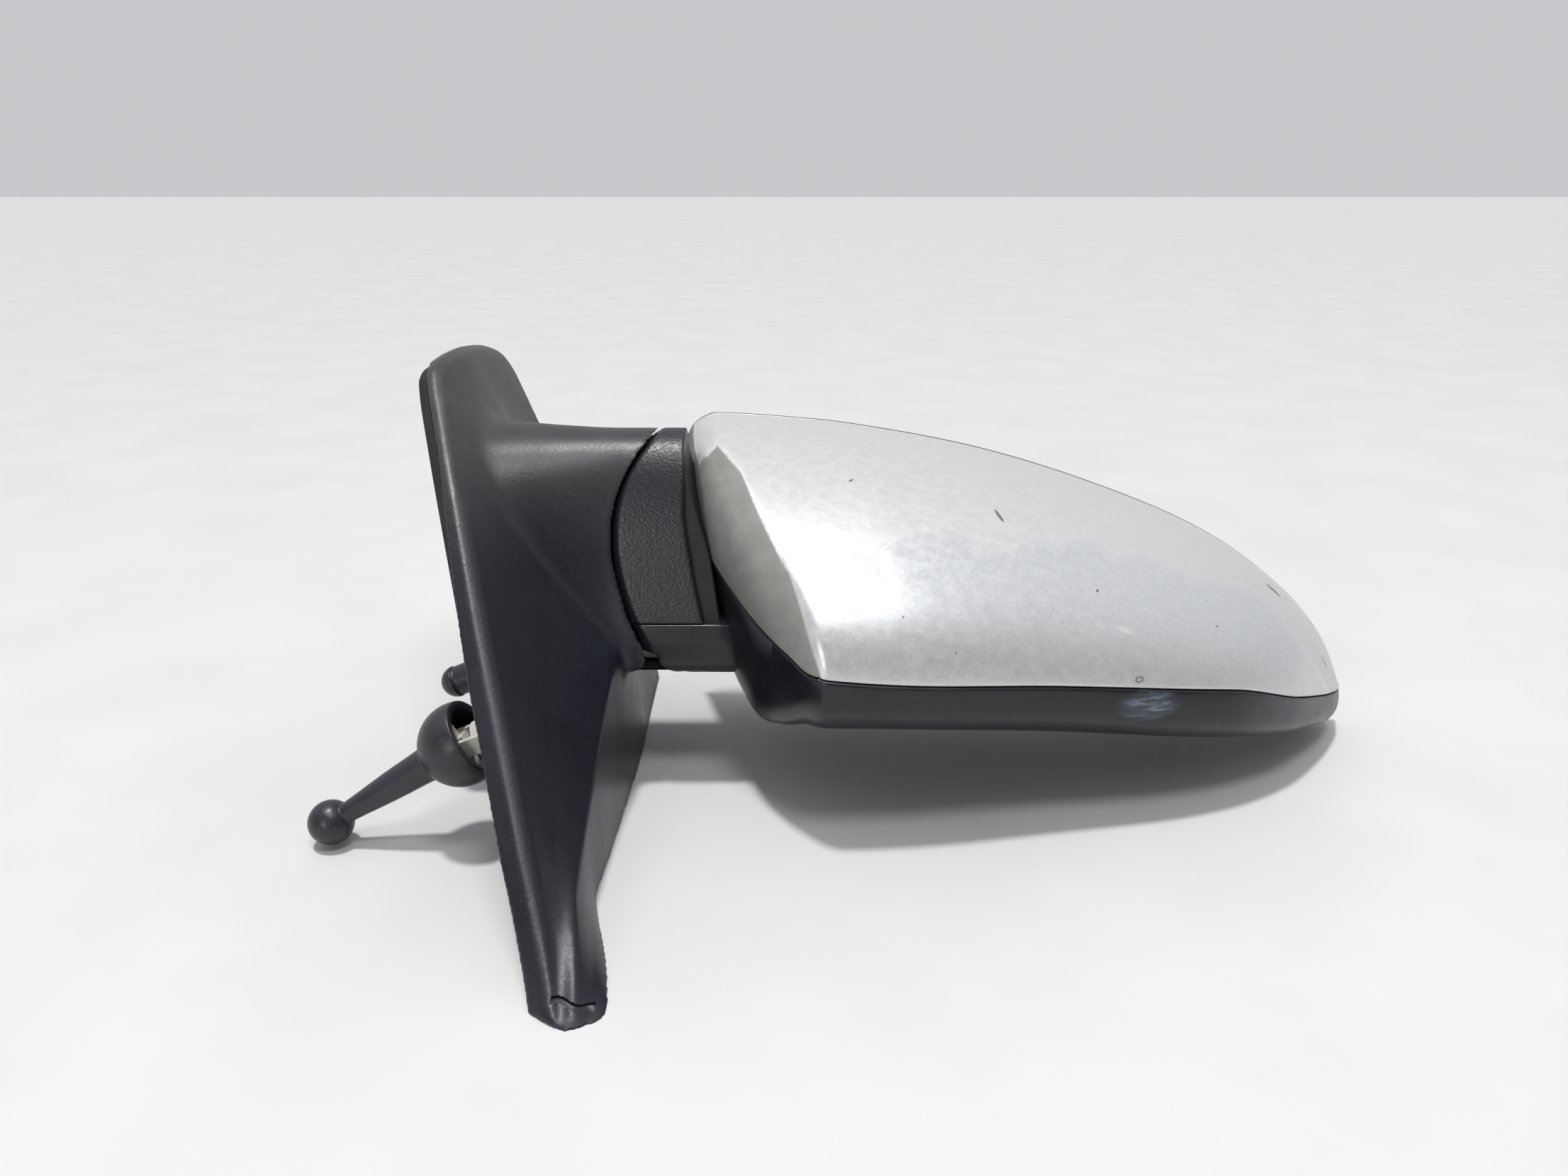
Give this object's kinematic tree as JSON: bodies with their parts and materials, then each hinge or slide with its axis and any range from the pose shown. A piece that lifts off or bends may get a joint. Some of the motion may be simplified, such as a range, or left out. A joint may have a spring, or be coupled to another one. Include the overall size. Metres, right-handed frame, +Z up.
{
  "type": "car side mirror",
  "caption": "Left-hand folding car side mirror with a triangular door sail, painted housing cap, moving mirror glass and an inside adjusting lever.",
  "frame": {"origin": "centre of the rubber face that bears on the door", "axes": "+X outboard from the door, +Y towards the rear of the car, +Z up"},
  "size_m": [0.3164, 0.1926, 0.1248],
  "materials": {
    "textured_plastic": "fine-grained charcoal moulding",
    "grained_plastic": "coarse leather grain, semi-matt black",
    "black_plastic": "smooth semi-gloss black with scuffs",
    "silver_paint": "silver metallic paint with peeling lacquer",
    "soft_rubber": "matt black rubber",
    "cast_metal": "black-coated casting",
    "steel": "zinc-plated steel",
    "nylon": "natural nylon",
    "carrier_plastic": "plain black moulding",
    "mirror_coating": "silvered glass",
    "brass": "plain brass"
  },
  "bodies": {
    "base": {"sail_cover": "textured_plastic", "door_gasket": "soft_rubber", "mount_bracket": "cast_metal", "captive_nut_1": "steel", "captive_nut_2": "steel", "captive_nut_3": "steel", "cover_screw_1": "steel", "cover_screw_2": "steel", "cover_screw_3": "steel", "locating_peg": "textured_plastic", "lever_socket": "carrier_plastic", "base_cable_loom": "soft_rubber", "pivot_tube": "steel", "lower_detent_ring": "steel", "fold_spring": "steel", "spring_seat": "steel", "retaining_clip": "steel"},
    "lever_cross": {"lever_gimbal": "carrier_plastic"},
    "lever": {"adjusting_lever": "textured_plastic"},
    "head": {"neck_cover": "grained_plastic", "upper_detent_ring": "steel", "head_frame": "nylon", "housing_shell": "black_plastic", "mirror_cap": "silver_paint", "frame_screw_1": "steel", "frame_screw_2": "steel", "frame_screw_3": "steel", "glass_pivot_mount": "nylon", "mount_screw_1": "steel", "mount_screw_2": "steel", "mount_screw_3": "steel", "cable_guide": "nylon", "head_cable_loom": "soft_rubber"},
    "glass_cross": {"glass_gimbal": "nylon"},
    "glass": {"glass_carrier": "carrier_plastic", "adhesive_pad": "soft_rubber", "mirror_glass": "mirror_coating", "cable_nipple_1": "brass", "cable_nipple_2": "brass", "cable_nipple_3": "brass"}
  },
  "joints": [
    {"name": "fold", "type": "hinge", "parent": "base", "child": "head", "pos_m": [0.0527, 0.008, 0.01], "axis": [0, 0, 1], "range_deg": [-40, 42]},
    {"name": "glass_pan", "type": "hinge", "parent": "head", "child": "glass_cross", "pos_m": [0.13824, 0.01838, 0.008], "axis": [0, 0, 1], "range_deg": [-7, 7]},
    {"name": "glass_tilt", "type": "hinge", "parent": "glass_cross", "child": "glass", "pos_m": [0.13824, 0.01838, 0.008], "axis": [0.9952, -0.0975, 0], "range_deg": [-7, 7]},
    {"name": "lever_tilt", "type": "hinge", "parent": "base", "child": "lever_cross", "pos_m": [-0.01391, -0.052, -0.00562], "axis": [0, 1, 0], "range_deg": [-15, 15]},
    {"name": "lever_pan", "type": "hinge", "parent": "lever_cross", "child": "lever", "pos_m": [-0.01391, -0.052, -0.00562], "axis": [-0.5344, 0, 0.8453], "range_deg": [-15, 15]}
  ],
  "couplings": [
    {"joint": "lever_tilt", "follows": "glass_tilt", "ratio": 2},
    {"joint": "lever_pan", "follows": "glass_pan", "ratio": 2}
  ]
}
